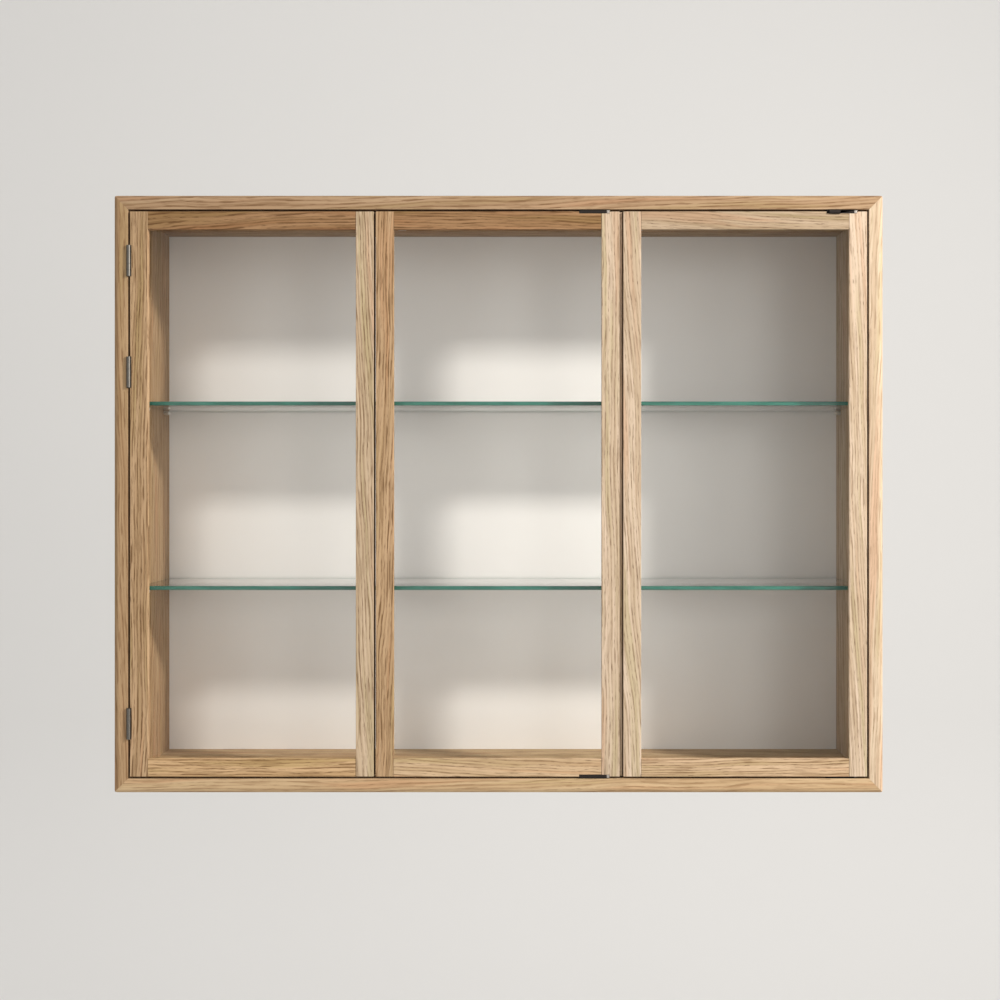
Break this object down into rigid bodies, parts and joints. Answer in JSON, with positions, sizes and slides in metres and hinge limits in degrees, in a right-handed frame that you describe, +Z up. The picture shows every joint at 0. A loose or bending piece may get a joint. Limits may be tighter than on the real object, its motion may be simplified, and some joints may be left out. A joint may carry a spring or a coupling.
{
  "type": "wall-mounted display case",
  "caption": "Shallow oak wall display case with glazed frame doors on butt and pivot hinges, glass shelves, a white back, push latches and a hidden hanging cleat.",
  "frame": {"origin": "centre of the wall cleat's back face, on the wall plane", "axes": "+Z up, +X to the right seen from the front, and the front faces -Y; the wall is the plane Y = 0"},
  "size_m": [0.95, 0.2235, 0.738],
  "materials": {
    "carcass_oak": "matt oiled oak",
    "door_oak": "matt oiled oak with open grain",
    "white_panel": "matt off-white lacquer",
    "softwood": "bare planed softwood",
    "door_glass": "polished clear glass",
    "shelf_glass": "polished glass with green edges",
    "satin_nickel": "satin nickel plate",
    "black_steel": "black oxide",
    "grey_plastic": "fine matt moulded plastic"
  },
  "bodies": {
    "carcass": {"back_panel": "white_panel", "bottom_hinge_carcass_leaf": "satin_nickel", "bottom_hinge_pin": "satin_nickel", "cabinet_cleat": "softwood", "carcass_bottom": "carcass_oak", "carcass_left_side": "carcass_oak", "carcass_right_side": "carcass_oak", "carcass_top": "carcass_oak", "left_door_latch_housing": "grey_plastic", "lower_batten": "softwood", "lower_left_back_pin": "satin_nickel", "lower_left_front_pin": "satin_nickel", "lower_right_back_pin": "satin_nickel", "lower_right_front_pin": "satin_nickel", "lower_shelf": "shelf_glass", "middle_door_bottom_pivot_plate": "black_steel", "middle_door_latch_housing": "grey_plastic", "middle_door_top_pivot_plate": "black_steel", "right_door_bottom_pivot_plate": "black_steel", "right_door_latch_housing": "grey_plastic", "right_door_top_pivot_plate": "black_steel", "second_hinge_carcass_leaf": "satin_nickel", "second_hinge_pin": "satin_nickel", "top_hinge_carcass_leaf": "satin_nickel", "top_hinge_pin": "satin_nickel", "upper_left_back_pin": "satin_nickel", "upper_left_front_pin": "satin_nickel", "upper_right_back_pin": "satin_nickel", "upper_right_front_pin": "satin_nickel", "upper_shelf": "shelf_glass", "wall_cleat": "softwood"},
    "left_door": {"bottom_hinge_door_leaf": "satin_nickel", "left_door_bottom_rail": "door_oak", "left_door_glass": "door_glass", "left_door_glazing_bead": "door_oak", "left_door_left_stile": "door_oak", "left_door_right_stile": "door_oak", "left_door_top_rail": "door_oak", "second_hinge_door_leaf": "satin_nickel", "top_hinge_door_leaf": "satin_nickel"},
    "left_latch_plunger": {"left_door_latch_plunger": "black_steel"},
    "middle_door": {"middle_door_bottom_pivot_arm": "black_steel", "middle_door_bottom_rail": "door_oak", "middle_door_glass": "door_glass", "middle_door_glazing_bead": "door_oak", "middle_door_left_stile": "door_oak", "middle_door_right_stile": "door_oak", "middle_door_top_pivot_arm": "black_steel", "middle_door_top_rail": "door_oak"},
    "middle_latch_plunger": {"middle_door_latch_plunger": "black_steel"},
    "right_door": {"right_door_bottom_pivot_arm": "black_steel", "right_door_bottom_rail": "door_oak", "right_door_glass": "door_glass", "right_door_glazing_bead": "door_oak", "right_door_left_stile": "door_oak", "right_door_right_stile": "door_oak", "right_door_top_pivot_arm": "black_steel", "right_door_top_rail": "door_oak"},
    "right_latch_plunger": {"right_door_latch_plunger": "black_steel"}
  },
  "joints": [
    {"name": "left_door_hinge", "type": "hinge", "parent": "carcass", "child": "left_door", "pos_m": [-0.4557, -0.221, -0.284], "axis": [0, 0, -1], "range_deg": [0, 170]},
    {"name": "middle_door_pivot", "type": "hinge", "parent": "carcass", "child": "middle_door", "pos_m": [0.12517, -0.21, -0.284], "axis": [0, 0, 1], "range_deg": [0, 105]},
    {"name": "right_door_pivot", "type": "hinge", "parent": "carcass", "child": "right_door", "pos_m": [0.4304, -0.21, -0.284], "axis": [0, 0, 1], "range_deg": [0, 105]},
    {"name": "left_latch_press", "type": "slide", "parent": "carcass", "child": "left_latch_plunger", "axis": [0, 1, 0], "range_m": [0, 0.003], "stiffness_N_per_m": 1500},
    {"name": "middle_latch_press", "type": "slide", "parent": "carcass", "child": "middle_latch_plunger", "axis": [0, 1, 0], "range_m": [0, 0.003], "stiffness_N_per_m": 1500},
    {"name": "right_latch_press", "type": "slide", "parent": "carcass", "child": "right_latch_plunger", "axis": [0, 1, 0], "range_m": [0, 0.003], "stiffness_N_per_m": 1500}
  ]
}
